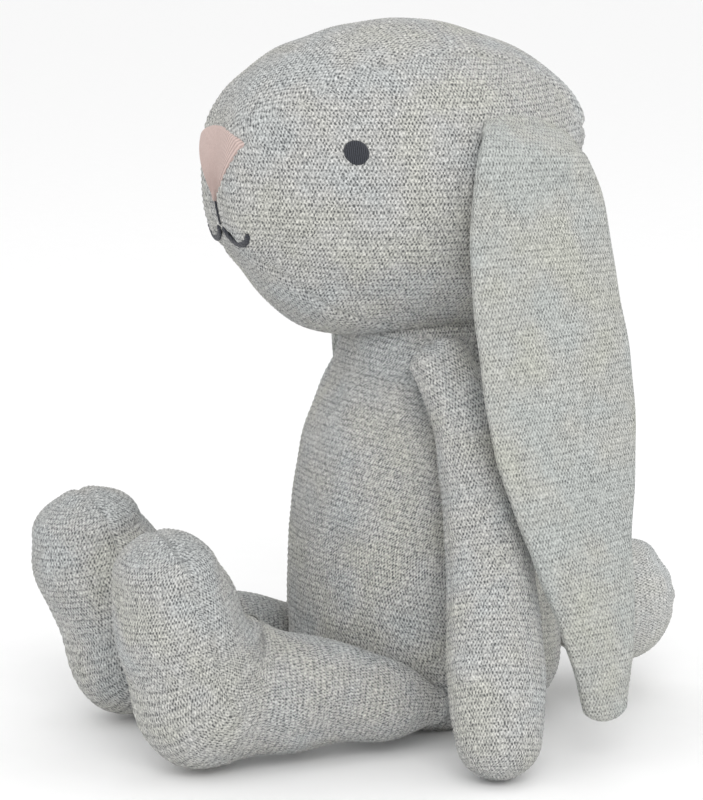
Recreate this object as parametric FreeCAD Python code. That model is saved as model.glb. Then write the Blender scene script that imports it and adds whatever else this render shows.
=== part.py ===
"""Stuffed knitted rabbit, sitting, with long hanging ears.

Millimetres. The rabbit faces -Y, +Z is up and +X is its own left. The origin is on the flat
patch that it sits on, midway between its sides. Every stuffed piece is a filling inside sewn
knit panels, and the panels are cut from one smooth padded form, so that they meet edge to edge
at the seams.
"""
import FreeCAD
import Part
import math
import os

from FreeCAD import Vector as V

os.makedirs("parts", exist_ok=True)

# ---- driving dimensions -------------------------------------------------------------------
KNIT = 1.6            # thickness of the knitted fabric
EASE = 0.2            # filling to fabric
GAP = 0.5             # clearance between pieces that turn on each other
STITCH = 0.9          # height of the embroidery above the fabric

NECK = V(0, 15.5, 146)        # centre of the neck ball
NECK_R = 36.5
COLLAR_Z = 142.0              # top edge of the body panels
BASE_SEAM_Z = 7.0             # seam round the bottom panel

SHOULDER = V(48.5, 0, 148)    # where the left arm is gathered and sewn on
HIP = V(47, -16, 14.5)
ANKLE = V(39, -85, 26.5)
ANKLE_R = 21.0
GATHER_R = 4.0                # knot of gathered fabric inside the end of a limb
TAIL = V(0, 96, 39)
TAIL_R = 26.5
BODY_AXIS = V(0, 13, 0)       # upright line through the middle of the body
RIGHT_BACK = 7.0              # degrees that the right arm and ear hang further round to the back

PELLET_BAG = (V(0, 14, 5), 34.0, 22.0)     # foot of the bag, radius, height

# Padded forms: centre x, y, z, then the half-widths across and through each section.
TORSO = [
    (0, 17, 0, 31, 34), (0, 14.5, 12, 41, 52), (0, 13.5, 30, 49, 55), (0, 12.5, 52, 52, 54.5),
    (0, 12, 80, 49, 51.5), (0, 11.5, 103, 45.5, 47.5), (0, 13, 128, 41, 42.5), (0, 15.5, 152, 38, 38),
]
HEAD_MIDDLE = V(0, 12, 214.5)     # centre of the widest section
HEAD_HALF = (60, 62.5)        # half-width and half-height there
HEAD_FRONT = 89.0             # from there to the tip of the nose
HEAD_BACK = 58.0              # and to the back of the head
MUZZLE_LIFT = 3.0             # the tip of the nose is this much higher than the middle
HEAD_FULLNESS = 0.8           # below 1, the head is fuller than an ellipse seen from the side
ARM = [
    (48.5, 0, 148, 10.5, 10.5), (53, 4, 134, 13, 12), (59, 7, 109, 15, 13.5), (67, 7.5, 84, 16.5, 14.5),
    (77, 5, 57, 18, 15.5), (88, 1, 32, 18.5, 16), (94, -1, 16, 16, 15),
]
LEG = [
    (47, -16, 14.5, 8, 8), (44, -34, 19, 12.5, 13.5), (41, -53, 22.5, 17.5, 18),
    (39.5, -70, 25, 20.5, 21), (39, -85, 26.5, 21, 21),
]
FOOT = [
    (36, -97, 18, 21, 17.5), (38, -101, 31, 24.5, 21.5), (40, -106, 48, 25.5, 21.5),
    (42.5, -111, 64, 25, 19.5), (44, -115, 80, 22, 15.5),
]
EAR = [
    (59, 28, 242.5, 16, 5), (64.5, 29, 231, 21, 5.5), (68, 28.5, 212, 26, 6), (72.5, 28, 186, 29, 6),
    (78, 29, 156, 30, 6), (83, 31, 127, 29.5, 5.5), (88, 34.5, 96, 25, 5.5), (92, 39.5, 63, 17.5, 5),
    (94.5, 43.5, 24, 9.5, 4.5),
]

NOSE = [(-15.5, 234), (0, 239), (15.5, 234), (0, 208)]     # x, z corners of the nose patch
EYE_AT = (46.0, 230.0)                                      # side, height
EYE_Y = -37.0
EYE_R = 5.0
EYE_TURN = 48.0                                             # degrees that an eye faces outwards
MOUTH_R = 8.0
MOUTH_Z = 198.5
MOUTH_W = 2.2
GUSSET_FRONT = (15.5, -69)     # half-width of the crown strip at the nose, and where
GUSSET_BACK = (30.0, 10)       # half-width over the crown, and where
CHIN_HALF = 30.0               # half-width of the strip under the chin
CROWN_Z = 226.0                # the crown strip lies above this level
THROAT_Z = 190.0               # the chin strip lies below this level
SOLE_DEPTH = 9.0               # the sole panel is this far in front of the foot's middle


def head_sections(inset):
    """Sections from nose to nape: half an ellipse in front of the middle, a shorter one behind."""
    rows = []
    for degrees in (3, 9, 17, 27, 40, 56, 73, 90, 107, 124, 140, 153, 163, 171, 177):
        turn = math.radians(degrees)
        forward = math.cos(turn)
        reach = (HEAD_FRONT if forward > 0 else HEAD_BACK) - inset
        lift = MUZZLE_LIFT * max(0.0, forward) ** 2
        rows.append((0, HEAD_MIDDLE.y - reach * forward, HEAD_MIDDLE.z + lift,
                     (HEAD_HALF[0] - inset) * math.sin(turn),
                     (HEAD_HALF[1] - inset) * math.sin(turn) ** HEAD_FULLNESS))
    return rows


# ---- building blocks ----------------------------------------------------------------------
def ellipse_wire(centre, across, through, a, b):
    """Closed smooth wire round an ellipse with half-widths a along across, b along through."""
    count = 16
    points = []
    for i in range(count):
        turn = 2 * math.pi * i / count
        points.append(centre + across * (a * math.cos(turn)) + through * (b * math.sin(turn)))
    curve = Part.BSplineCurve()
    curve.interpolate(Points=points, PeriodicFlag=True)
    return Part.Wire([curve.toShape()])


def padded(stations, across, inset=0.0, ends=(1.0, 1.0), facing=None):
    """Padded form through elliptical sections, with a rounded dome on each end.

    ends are the domes' heights as shares of the thinner half-width; 0 is a flat cut end.
    The sections face along the run of their centres, or all along facing.
    """
    centres = [V(*s[:3]) for s in stations]
    halves = [(s[3] - inset, s[4] - inset) for s in stations]
    last = len(centres) - 1
    rows = []
    for i, centre in enumerate(centres):
        ahead = centres[min(i + 1, last)] - centres[max(i - 1, 0)]
        rows.append((centre, V(facing or ahead).normalize(), halves[i]))
    steps = [math.radians(d) for d in (30, 56, 74, 85)]
    full = [min(stations[0][3:]), min(stations[-1][3:])]

    def dome(row, height, sign):
        centre, ahead, (a, b) = row
        return [(centre + ahead * (sign * height * math.sin(t)), ahead, (a * math.cos(t), b * math.cos(t)))
                for t in steps]

    if ends[0]:
        rows = dome(rows[0], ends[0] * full[0] - inset, -1)[::-1] + rows
    if ends[1]:
        rows = rows + dome(rows[-1], ends[1] * full[1] - inset, 1)
    wires = []
    for centre, ahead, (a, b) in rows:
        u = across - ahead * across.dot(ahead)
        u.normalize()
        wires.append(ellipse_wire(centre, u, ahead.cross(u), a, b))
    return Part.makeLoft(wires, True, False)


def slab(low, high):
    """Box between two corners."""
    size = high - low
    return Part.makeBox(size.x, size.y, size.z, low)


def below(z):
    return slab(V(-400, -400, -300), V(400, 400, z))


def half_space(point, normal):
    """Large block that fills the side of a plane that its normal points to."""
    block = Part.makeBox(600, 600, 600, V(-300, -300, 0))
    block.Placement = FreeCAD.Placement(point, FreeCAD.Rotation(V(0, 0, 1), normal))
    return block


def mirrored(shape, back=0.0):
    """The same piece on the rabbit's right, turned back round the body by an angle."""
    other = shape.mirror(V(0, 0, 0), V(1, 0, 0))
    other.rotate(BODY_AXIS, V(0, 0, 1), -back)
    return other


def save(name, shape):
    solids = [s for s in shape.Solids if s.Volume > 1.0]
    shape = solids[0] if len(solids) == 1 else Part.makeCompound(solids)
    shape.exportStep("parts/%s.step" % name)
    print("%-22s %2d solid %9.1f mm3 valid %s" % (name, len(solids), shape.Volume, shape.isValid()))


def save_pair(pattern, shape, back=0.0):
    save(pattern % "left", shape)
    save(pattern % "right", mirrored(shape, back))


# ---- body ---------------------------------------------------------------------------------
X, Y, Z = V(1, 0, 0), V(0, 1, 0), V(0, 0, 1)


def torso_form(inset):
    return padded(TORSO, X, inset, (0, 0), Z).common(below(COLLAR_Z))


def head_form(inset):
    return padded(head_sections(inset), X, 0, (0, 0), Y)


def make_torso():
    """Two panels with side seams, a bottom panel, the stuffing and a bag of pellets in the seat."""
    cup = Part.makeSphere(NECK_R + GAP, NECK)
    outer = torso_form(0).cut(cup)
    inner = torso_form(KNIT).cut(below(KNIT))
    cover = outer.cut(inner)
    sewn = cover.cut(below(BASE_SEAM_Z))
    front = half_space(V(0, TORSO[3][1], 0), V(0, -1, 0))
    save("torso_front", sewn.common(front))
    save("torso_back", sewn.cut(front))
    save("torso_base", cover.common(below(BASE_SEAM_Z)))
    foot, radius, height = PELLET_BAG
    bag = Part.makeCylinder(radius, height, foot)
    bag = bag.makeFillet(0.42 * height, bag.Edges)
    fill = torso_form(KNIT + EASE).cut(below(KNIT + EASE)).cut(cup)
    pocket = Part.makeCylinder(radius + EASE, height + 2 * EASE, foot - Z * EASE)
    save("torso_filling", fill.cut(pocket))
    save("pellet_bag", bag)


def make_neck():
    """Ball of stuffing that the head turns and nods on."""
    ball = Part.makeSphere(NECK_R, NECK)
    save("neck_filling", ball.cut(below(COLLAR_Z - 12)))


# ---- head ---------------------------------------------------------------------------------
def crown_wedge():
    """Block that cuts the crown strip: narrow at the nose and wide over the crown."""
    half_front, y_front = GUSSET_FRONT
    half_back, y_back = GUSSET_BACK
    outline = [V(-half_front, y_front - 30, CROWN_Z), V(half_front, y_front - 30, CROWN_Z),
               V(half_front, y_front, CROWN_Z), V(half_back, y_back, CROWN_Z),
               V(half_back - 6, 110, CROWN_Z), V(6 - half_back, 110, CROWN_Z),
               V(-half_back, y_back, CROWN_Z), V(-half_front, y_front, CROWN_Z)]
    return Part.Face(Part.makePolygon(outline + outline[:1])).extrude(Z * 80)


def chin_block():
    return slab(V(-CHIN_HALF, -62, 100), V(CHIN_HALF, NECK.y, THROAT_Z))


def embroidery(block):
    """Layer of stitches on the head's fabric, inside the block's outline."""
    raised = head_form(-STITCH).cut(head_form(-0.02))
    return raised.common(block)


def make_head():
    """Side panels, crown strip and chin strip over the stuffing, with an embroidered face."""
    dish = Part.makeSphere(NECK_R + GAP, NECK)
    outer = head_form(0).cut(dish)
    inner = head_form(KNIT)
    cover = outer.cut(inner)
    crown = crown_wedge()
    chin = chin_block()
    save("head_crown", cover.common(crown))
    save("head_chin", cover.common(chin))
    side = cover.cut(crown).cut(chin).common(slab(V(0, -300, 0), V(300, 300, 500)))
    save_pair("head_side_%s", side)
    save("head_filling", head_form(KNIT + EASE).cut(dish))

    corners = [V(x, -120, z) for x, z in NOSE]
    patch = Part.Face(Part.makePolygon(corners + corners[:1])).extrude(Y * 75)
    save("nose", embroidery(patch))

    turn = math.radians(EYE_TURN)
    facing = V(math.sin(turn), -math.cos(turn), 0)
    eye = Part.makeCylinder(EYE_R, 30, V(EYE_AT[0], EYE_Y, EYE_AT[1]) - facing * 15, facing)
    save_pair("eye_%s", embroidery(eye))

    ring = Part.makeCylinder(MOUTH_R + MOUTH_W / 2, 75, V(MOUTH_R, -120, MOUTH_Z), Y)
    ring = ring.cut(Part.makeCylinder(MOUTH_R - MOUTH_W / 2, 75, V(MOUTH_R, -120, MOUTH_Z), Y))
    smile = ring.common(below(MOUTH_Z))
    stem = slab(V(-MOUTH_W / 2, -120, MOUTH_Z - 1), V(MOUTH_W / 2, -45, NOSE[3][1] - 0.5))
    save("mouth", embroidery(smile.fuse(mirrored(smile)).fuse(stem)))


# ---- limbs --------------------------------------------------------------------------------
def make_limb(name, stations, across, parting, gather_at, hollow=None, back=0.0):
    """Stuffed limb of two panels, its filling, and the gathered end that it is sewn on by.

    parting is the plane between the panels: a name and a normal for the side it cuts off.
    """
    cut_name, rest_name, point, normal = parting
    outer = padded(stations, across)
    inner = padded(stations, across, KNIT)
    fill = padded(stations, across, KNIT + EASE)
    if hollow:
        outer = outer.cut(hollow)
        fill = fill.cut(hollow)
    if gather_at:
        fill = fill.cut(Part.makeSphere(GATHER_R + GAP, gather_at))
        save_pair(name + "_%s_gather", Part.makeSphere(GATHER_R, gather_at), back)
    cover = outer.cut(inner)
    plane = half_space(point, normal)
    save_pair(name + "_%s_" + cut_name, cover.common(plane), back)
    save_pair(name + "_%s_" + rest_name, cover.cut(plane), back)
    save_pair(name + "_%s_filling", fill, back)


def make_limbs():
    middle = V(*ARM[3][:3])
    along = V(*ARM[-1][:3]) - V(*ARM[0][:3])
    parting = ("outer", "inner", middle, along.cross(Y))
    make_limb("arm", ARM, Y, parting, SHOULDER, back=RIGHT_BACK)
    along = V(*LEG[-1][:3]) - V(*LEG[0][:3])
    make_limb("leg", LEG, X, ("upper", "under", V(*LEG[1][:3]), X.cross(along) * -1), HIP)
    along = V(*FOOT[-1][:3]) - V(*FOOT[0][:3])
    forward = along.cross(X)
    if forward.y > 0:
        forward = forward * -1
    point = V(*FOOT[2][:3]) + V(forward).normalize() * SOLE_DEPTH
    socket = Part.makeSphere(ANKLE_R + GAP, ANKLE)
    make_limb("foot", FOOT, X, ("sole", "upper", point, forward), None, socket)


def make_ears():
    """Flat ears: an outer and an inner panel with thin wadding between."""
    outer = padded(EAR, Y, 0, (1.0, 1.4))
    inner = padded(EAR, Y, KNIT, (1.0, 1.4))
    fill = padded(EAR, Y, KNIT + EASE, (1.0, 1.4))
    cover = outer.cut(inner)
    mid = [V(s[0], -100, s[2]) for s in EAR]
    first = mid[0] + V(-8, 0, 40)
    final = mid[-1] + V(2, 0, -40)
    outward = [final + V(200, 0, 0), first + V(200, 0, 0)]
    outline = Part.makePolygon([first] + mid + [final] + outward + [first])
    outside = Part.Face(outline).extrude(Y * 300)
    save_pair("ear_%s_outer", cover.common(outside), RIGHT_BACK)
    save_pair("ear_%s_inner", cover.cut(outside), RIGHT_BACK)
    save_pair("ear_%s_wadding", fill, RIGHT_BACK)


def make_tail():
    """Round tail of two panels, sewn low on the back."""
    cover = Part.makeSphere(TAIL_R, TAIL).cut(Part.makeSphere(TAIL_R - KNIT, TAIL))
    half = slab(V(0, -300, -300), V(300, 300, 300))
    save("tail_cover_left", cover.common(half))
    save("tail_cover_right", cover.cut(half))
    save("tail_filling", Part.makeSphere(TAIL_R - KNIT - EASE, TAIL))


make_torso()
make_neck()
make_head()
make_limbs()
make_ears()
make_tail()
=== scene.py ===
"""Stuffed knitted rabbit: knit covers, stuffing, embroidered face, materials, studio and camera.

Lengths are millimetres until a mesh is made. The rabbit faces -Y and +X is its own left.
"""
import math

import bmesh
import bpy
import numpy as np
from mathutils import Matrix, Vector


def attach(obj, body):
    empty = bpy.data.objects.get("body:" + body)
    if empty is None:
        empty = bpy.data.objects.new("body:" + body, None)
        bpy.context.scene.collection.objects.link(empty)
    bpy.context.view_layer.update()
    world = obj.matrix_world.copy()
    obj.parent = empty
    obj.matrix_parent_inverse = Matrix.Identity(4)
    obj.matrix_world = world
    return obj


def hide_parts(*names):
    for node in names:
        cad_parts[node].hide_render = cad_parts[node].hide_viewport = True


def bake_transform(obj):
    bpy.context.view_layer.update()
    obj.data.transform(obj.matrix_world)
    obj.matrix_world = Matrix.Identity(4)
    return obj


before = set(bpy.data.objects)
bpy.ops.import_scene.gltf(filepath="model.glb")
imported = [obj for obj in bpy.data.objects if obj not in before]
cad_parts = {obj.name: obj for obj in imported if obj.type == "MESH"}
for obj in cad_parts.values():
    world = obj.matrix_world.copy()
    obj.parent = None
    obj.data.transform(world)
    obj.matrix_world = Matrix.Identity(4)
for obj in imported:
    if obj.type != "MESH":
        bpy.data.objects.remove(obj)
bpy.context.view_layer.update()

MM = 0.001
CELL = 0.85     # spacing of the covers' vertices
CORE_CELL = 3.0                   # and of the stuffing's
CORE_INSET = 3.2                  # stuffing below the outside of the fabric

# ---- driving dimensions -------------------------------------------------------------------
NECK = np.array([0, 15.5, 146])
NECK_BALL = 36.6                  # radius of the knitted neck, just inside the head's dish
NECK_FROM = -24                   # degrees below its middle where the neck's ball is cut off
DISH = 37.3                       # radius of the hollow under the head that turns on the neck
RIM_Z = 157.0                     # top edge of the body's cover, against the neck
BASE_SEAM_Z = 7.0
SIDE_SEAM_Y = 12.5
BODY_AXIS = (0.0, 13.0)           # x, y of the upright line that the right limbs are turned round
RIGHT_BACK = 7.0                  # degrees that the right arm and ear hang further back
TAIL = np.array([0, 96.4, 37.8])
TAIL_R = 26.6

# centre x, y, z, then the half-widths across and through each section; ENDS are the heights of
# the domes on the first and the last section
TORSO = [
    (0, 17, 0, 31, 34), (0, 14.5, 12, 41, 52), (0, 13.5, 30, 49, 55), (0, 12.3, 52, 52, 53.8),
    (0, 10.9, 80, 49.5, 52.1), (0, 10.4, 103, 46, 48.4), (0, 12.2, 128, 41.4, 43.2),
    (0, 14.7, 141, 38.5, 39.1), (0, 15.5, 147.5, 36.95, 36.95), (0, 15.5, 152, 36.45, 36.45),
    (0, 15.5, 157, 35.25, 35.25),
]
ARM = [
    (45.5, -3.5, 152, 11.5, 8), (50, 1, 141, 12.5, 11), (53, 4, 132, 13.2, 12), (59, 7, 109, 15, 13.5),
    (67, 7.5, 84, 16.5, 14.5), (77, 5, 57, 18, 15.5), (88, 1, 32, 18.5, 16), (94, -1, 16, 16, 15),
]
ARM_ENDS = (5, 15)
EAR = [
    (52, 27.5, 256, 10, 3.5), (56.5, 28, 249, 13.5, 4.5), (60, 28.2, 241, 17, 5.3),
    (64.5, 26.4, 231, 21.2, 5.8), (68, 26.3, 212, 27.2, 6), (72.5, 26.8, 186, 30.2, 6),
    (78, 28.7, 156, 31.2, 6), (83, 30.8, 127, 30.6, 5.5), (88, 33.9, 96, 24.3, 5.5),
    (92, 39.5, 63, 17.5, 5),
    (94.5, 43.5, 24, 9.5, 4.5),
]
EAR_ENDS = (2.5, 6.3)
WADDING_FROM = 4                  # first section of the ear that holds wadding
EAR_BEND = ((59, 28, 247), (65, 28, 226))     # where an ear starts and ends to bend off the head
# the same for a leg, with the angle that each section faces above the horizontal
LEG = [(44.5, -6, 16.5, 6.5, 8, 12), (46, -15, 18.5, 10, 12.5, 13), (44, -34, 22.8, 13.5, 17.5, 12),
       (41, -53, 26, 17.8, 21.2, 8), (39.5, -69, 28, 20.5, 24, 4)]
INSTEP = (39.0, -75.0, 57.0)      # crease that the foot turns up round
ANKLE_FAN = [(10, 21.5, 27), (30, 23.4, 31), (48, 24.8, 30), (64, 25.4, 27.2)]   # angle, halves
FOOT = [(40.5, -103.6, 51, 25.7, 24.9, 73), (42.5, -108.3, 64, 25.5, 23.1, 75),
        (44, -112.7, 79, 23, 18.7, 78)]
LEG_ENDS = (8, 14.5)
ANKLE_BEND = ((39, -74, 22), (39, -100, 38))
ANKLE_SEAM = (39.0, -88.4, 33.8)  # middle of the section where the leg's panels end
SOLE_DEPTH = -3.0                 # sole seam in front of the foot's middle
WIDE_FOOT = 0.17                  # how much deeper the right foot is, from a fuller stuffing
FOOT_HEIGHT = 0.988               # and how tall it is beside the left one
TUCKED_SHOULDER = 8.0             # how much further back the top of the right arm lies
# lines of the creases round an ankle, with their depths and widths
LEG_CREASES = (([(22, -84, 44), (39, -79, 49), (56, -84, 44)], 0.9, 2.6),
               ([(28, -92, 56), (40, -88, 58), (52, -93, 56)], 0.5, 2.2),
               ([(60, -84, 30), (61, -92, 22), (58, -101, 14)], 0.7, 2.0),
               ([(61, -90, 36), (64, -98, 28), (63, -106, 22)], 0.6, 1.8))

HEAD_MIDDLE = (12.0, 214.5)       # y, z of the widest section
HEAD_HALF = (60.0, 62.5)
HEAD_FRONT = 89.0                 # from there to the nose
HEAD_BACK = 58.0                  # and to the nape
MUZZLE_LIFT = 3.0                 # how much higher the nose lies
HEAD_FULLNESS = 0.8               # below 1 keeps the head tall further out to its ends
CROWN_FRONT_Z = 233.0             # front end of the crown strip
# y, and the half-width of the strip there, for the crown and for the chin
CROWN_EDGE = ([-76, -67, -60, -52, -45, -34, -4, 20, 45, 75],
              [15, 21.5, 26, 30, 32.5, 34, 35, 34, 31, 25])
CHIN_EDGE = ([-82, -74, -66, -55, -32, 15, 16], [-2, 6, 16, 24, 28, 30, -2])
CHIN_TOP_Z = 196.0
HEAD_CREASES = (([(13, -70, 196), (20, -62, 188), (24, -52, 180)], 0.5, 1.6),
                ([(50, 6, 246), (55, 9, 233), (56, 7, 216)], 0.9, 2.2))

# size, then middle and reach in y and in z, of each swelling or hollow of the head
HEAD_FILL = ((3.0, (-36, 17), (160, 11)), (-2.8, (-66, 13), (184, 15)), (-0.9, (-77, 11), (217, 20)),
             (-3.4, (30, 26), (272, 13)), (7.0, (68, 15), (240, 18)))
BLUNT = 1.4                       # fills the muzzle beside its tip and flattens the tip

NOSE_TOP = (20.5, 231.5, 7.0)     # half-width and height of the top corners, bulge between them
NOSE_BOTTOM_Z = 209.0
NOSE_THREADS = 17                 # on each side of its middle
EYE = (47.8, 230.2, 4.9, 62.0)    # side, height, radius, degrees that it faces outwards
EYE_THREAD = 0.75
SMILE = (11.0, 199.3, 8.3, 6.0)   # middle x and z, half-width and drop of each side's arc
SMILE_TURN = 0.97                 # share of the half-circle that it runs through
STEM_R = 0.6
SMILE_R = 1.2
THREAD_LIFT = 0.3                 # the thread's middle, above the cover
THREAD_FLAT = 0.6                 # its thickness as a share of its width

# stitch width and the height of two courses
HEAD_STITCH = (2.4, 2.5)
BODY_STITCH = (2.1, 2.5)
EAR_STITCH = (1.97, 2.5)
RELIEF = 0.12   # depth of the holes between stitches
RIDGE = 0.17    # height of each row's ridge
LOOPS = 1.7                       # loops seen across one mapped stitch

NO_SEAM = 99                      # distance that stands for no seam anywhere near
SEAM_DEPTH = 0.85
SEAM_WIDTH = 1.0
SEAM_PUFF = 0.35                  # fabric swells beside a seam
FLAT_SEAM = 0.35                  # share of that at the seams of arms and legs

# camera
AZIMUTH, ELEVATION = math.radians(66), math.radians(10)
DISTANCE = 1150.0
VIEW_HEIGHT = 312.5               # what the picture's height takes in at the rabbit
AIM_Z = 140.0                     # the aim starts on the body's upright axis at this height
AIM_SIDE, AIM_UP = -17.0, -6.5    # and is moved this far across the view
LOWER = 0.01875                   # share of the picture that its centre lies below the aim


# ---- smooth shapes ------------------------------------------------------------------------
def cubic(knots, values, at):
    """Natural cubic spline through values at knots, evaluated at the points at."""
    n = len(knots)
    h = np.diff(knots)
    system = np.eye(n)
    right = np.zeros((n, values.shape[1]))
    for i in range(1, n - 1):
        system[i, i - 1:i + 2] = h[i - 1], 2 * (h[i - 1] + h[i]), h[i]
        right[i] = 6 * ((values[i + 1] - values[i]) / h[i] - (values[i] - values[i - 1]) / h[i - 1])
    m = np.linalg.solve(system, right)
    i = np.clip(np.searchsorted(knots, at) - 1, 0, n - 2)
    low, high, gap = (at - knots[i])[:, None], (knots[i + 1] - at)[:, None], h[i][:, None]
    return (m[i] * high ** 3 / (6 * gap) + m[i + 1] * low ** 3 / (6 * gap)
            + (values[i] / gap - m[i] * gap / 6) * high
            + (values[i + 1] / gap - m[i + 1] * gap / 6) * low)


def through(stations, count=240):
    """Rows of a smooth run through stations, evenly spaced along their centres."""
    s = np.array(stations, float)
    knots = np.concatenate([[0], np.cumsum(np.linalg.norm(np.diff(s[:, :3], axis=0), axis=1))])
    return cubic(knots, s, np.linspace(0, knots[-1], count))


def unit(v):
    """Vectors of the same directions, one long."""
    return v / np.maximum(np.linalg.norm(v, axis=-1, keepdims=True), 1e-9)


def step(x):
    """Smooth step from 0 to 1 for x from 0 to 1."""
    x = np.clip(x, 0, 1)
    return x * x * (3 - 2 * x)


def ripple(points, size, seed):
    """Smooth uneven pattern about -1 to 1, with lumps about size across."""
    rng = np.random.default_rng(seed)
    total = np.zeros(len(points))
    for _ in range(7):
        direction = unit(rng.normal(size=3)) * (2 * math.pi / size * rng.uniform(0.6, 1.5))
        total += np.sin(points @ direction + rng.uniform(0, 2 * math.pi))
    return total / 4


class Form:
    """Closed surface as a table of points: rows along it, columns once round each section."""

    def __init__(self, centre, across, through_, a, b, poles, cell=None):
        cell = cell or CELL
        run = np.linalg.norm(np.diff(np.hstack([centre, a[:, None], b[:, None]]), axis=0), axis=1)
        run = np.concatenate([[0], np.cumsum(run)])
        rows = max(12, int(run[-1] / cell))
        even = np.linspace(0, run[-1], rows)

        def spread(values):
            values = values.reshape(len(run), -1)
            return np.stack([np.interp(even, run, column) for column in values.T], 1)

        self.along = even
        self.centre = spread(centre)
        across, through_ = unit(spread(across)), unit(spread(through_))
        a, b = spread(a), spread(b)
        columns = int(math.pi * 1.05 * (a.max() + b.max()) / cell / 4) * 4 + 1
        turn = np.linspace(0, 2 * math.pi, columns)
        cosine, sine = np.cos(turn)[None, :, None], np.sin(turn)[None, :, None]
        self.points = (self.centre[:, None] + across[:, None] * a[:, None] * cosine
                       + through_[:, None] * b[:, None] * sine)
        self.points[:, -1] = self.points[:, 0]
        self.turn = turn
        lengths = np.linalg.norm(np.diff(self.points, axis=1), axis=2)
        self.round = np.concatenate([np.zeros((rows, 1)), np.cumsum(lengths, axis=1)], axis=1)
        self.measure(poles)

    def measure(self, poles):
        """Outward normals of the table; poles are the directions at its closed ends, or None."""
        down = np.gradient(self.points, axis=0)
        wrapped = np.concatenate([self.points[:, -2:-1], self.points, self.points[:, 1:2]], axis=1)
        side = (wrapped[:, 2:] - wrapped[:, :-2]) / 2
        normal = unit(np.cross(side, down))
        if (normal * (self.points - self.centre[:, None])).sum() < 0:
            normal = -normal
        for row, pole in ((0, poles[0]), (-1, poles[1])):
            if pole is not None:
                normal[row] = unit(np.array(pole, float))
        normal[:, -1] = normal[:, 0]
        self.normal = normal

    def sample(self, table, at):
        """Values of a table at fractional rows and columns."""
        i = np.clip(at[:, 0].astype(int), 0, table.shape[0] - 2)
        j = np.clip(at[:, 1].astype(int), 0, table.shape[1] - 2)
        s, t = at[:, 0] - i, at[:, 1] - j
        if table.ndim == 3:
            s, t = s[:, None], t[:, None]
        return ((table[i, j] * (1 - s) + table[i + 1, j] * s) * (1 - t)
                + (table[i, j + 1] * (1 - s) + table[i + 1, j + 1] * s) * t)

    def where(self, at):
        """Length along the form and angle round it, at fractional rows and columns."""
        return (np.interp(at[:, 0], np.arange(len(self.along)), self.along),
                np.interp(at[:, 1], np.arange(len(self.turn)), self.turn))


def domed(rows, ahead, ends):
    """Adds a rounded dome to the ends of a run of sections; ends are their heights."""
    steps = np.radians(np.linspace(4, 90, 24))[:, None]
    first, last = rows[:1], rows[-1:]
    parts, directions = [rows], [ahead]
    for end, row, sign, facing in ((0, first, -1, ahead[:1]), (1, last, 1, ahead[-1:])):
        if ends[end]:
            cap = np.hstack([row[:, :3] + facing * np.sin(steps) * ends[end] * sign,
                             row[:, 3:5] * np.cos(steps)])
            if end:
                parts.append(cap)
                directions.append(np.repeat(facing, len(cap), 0))
            else:
                parts.insert(0, cap[::-1])
                directions.insert(0, np.repeat(facing, len(cap), 0))
    return np.vstack(parts), np.vstack(directions)


def limb_form(stations, across, ends, cell=None):
    """Padded limb through stations, with sections square to the run."""
    rows = through(stations)
    ahead = unit(np.gradient(rows[:, :3], axis=0))
    rows, ahead = domed(rows, ahead, ends)
    side = unit(np.array(across) - ahead * (ahead @ np.array(across))[:, None])
    return Form(rows[:, :3], side, np.cross(ahead, side), rows[:, 3], rows[:, 4],
                (-ahead[0] if ends[0] else None, ahead[-1]), cell)


def leg_stations():
    """Sections from hip to toe; those of the ankle fan out round the instep."""
    fan = []
    for angle, a, b in ANKLE_FAN:
        turn = math.radians(angle)
        fan.append((INSTEP[0], INSTEP[1] - b * math.sin(turn), INSTEP[2] - b * math.cos(turn),
                    a, b, angle))
    return LEG + fan + FOOT


def leg_form(cell=None):
    """Leg and foot as one bent padded tube; each section faces up by its own angle."""
    rows = through(leg_stations(), 300)
    pitch = np.radians(rows[:, 5:6])
    zero = np.zeros_like(pitch)
    ahead = np.hstack([zero, -np.cos(pitch), np.sin(pitch)])
    rows, ahead = domed(rows[:, :5], ahead, LEG_ENDS)
    side = np.repeat([[1.0, 0, 0]], len(rows), 0)
    return Form(rows[:, :3], side, np.cross(ahead, side), rows[:, 3], rows[:, 4],
                (-ahead[0], ahead[-1]), cell)


def torso_form(cell=None):
    """Body from the middle of the flat seat up to the rim round the neck."""
    sides = through(TORSO)
    grow = np.linspace(0.02, 0.97, 50)[:, None]
    seat = np.repeat(sides[:1], 50, 0) * np.hstack([np.ones((50, 3)), grow, grow])
    rows = np.vstack([seat, sides])
    smooth = np.hanning(23)
    smooth /= smooth.sum()
    ends = [2 * rows[0] - rows[11:0:-1], rows, 2 * rows[-1] - rows[-2:-13:-1]]
    rows = np.stack([np.convolve(c, smooth, "valid") for c in np.vstack(ends).T], 1)
    flat = np.repeat([[1.0, 0, 0]], len(rows), 0)
    deep = np.repeat([[0, 1.0, 0]], len(rows), 0)
    return Form(rows[:, :3], flat, deep, rows[:, 3], rows[:, 4], ((0, 0, -1), None), cell)


def head_halves(y):
    """Middle height and half-widths of the head's section at y."""
    reach = np.where(y < HEAD_MIDDLE[0], HEAD_FRONT, HEAD_BACK)
    forward = np.clip((HEAD_MIDDLE[0] - y) / reach, -1, 1)
    sine = np.sqrt(np.maximum(1 - forward ** 2, 1e-9))
    return (HEAD_MIDDLE[1] + MUZZLE_LIFT * np.maximum(0, forward) ** 2,
            HEAD_HALF[0] * sine, HEAD_HALF[1] * sine ** HEAD_FULLNESS)


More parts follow.
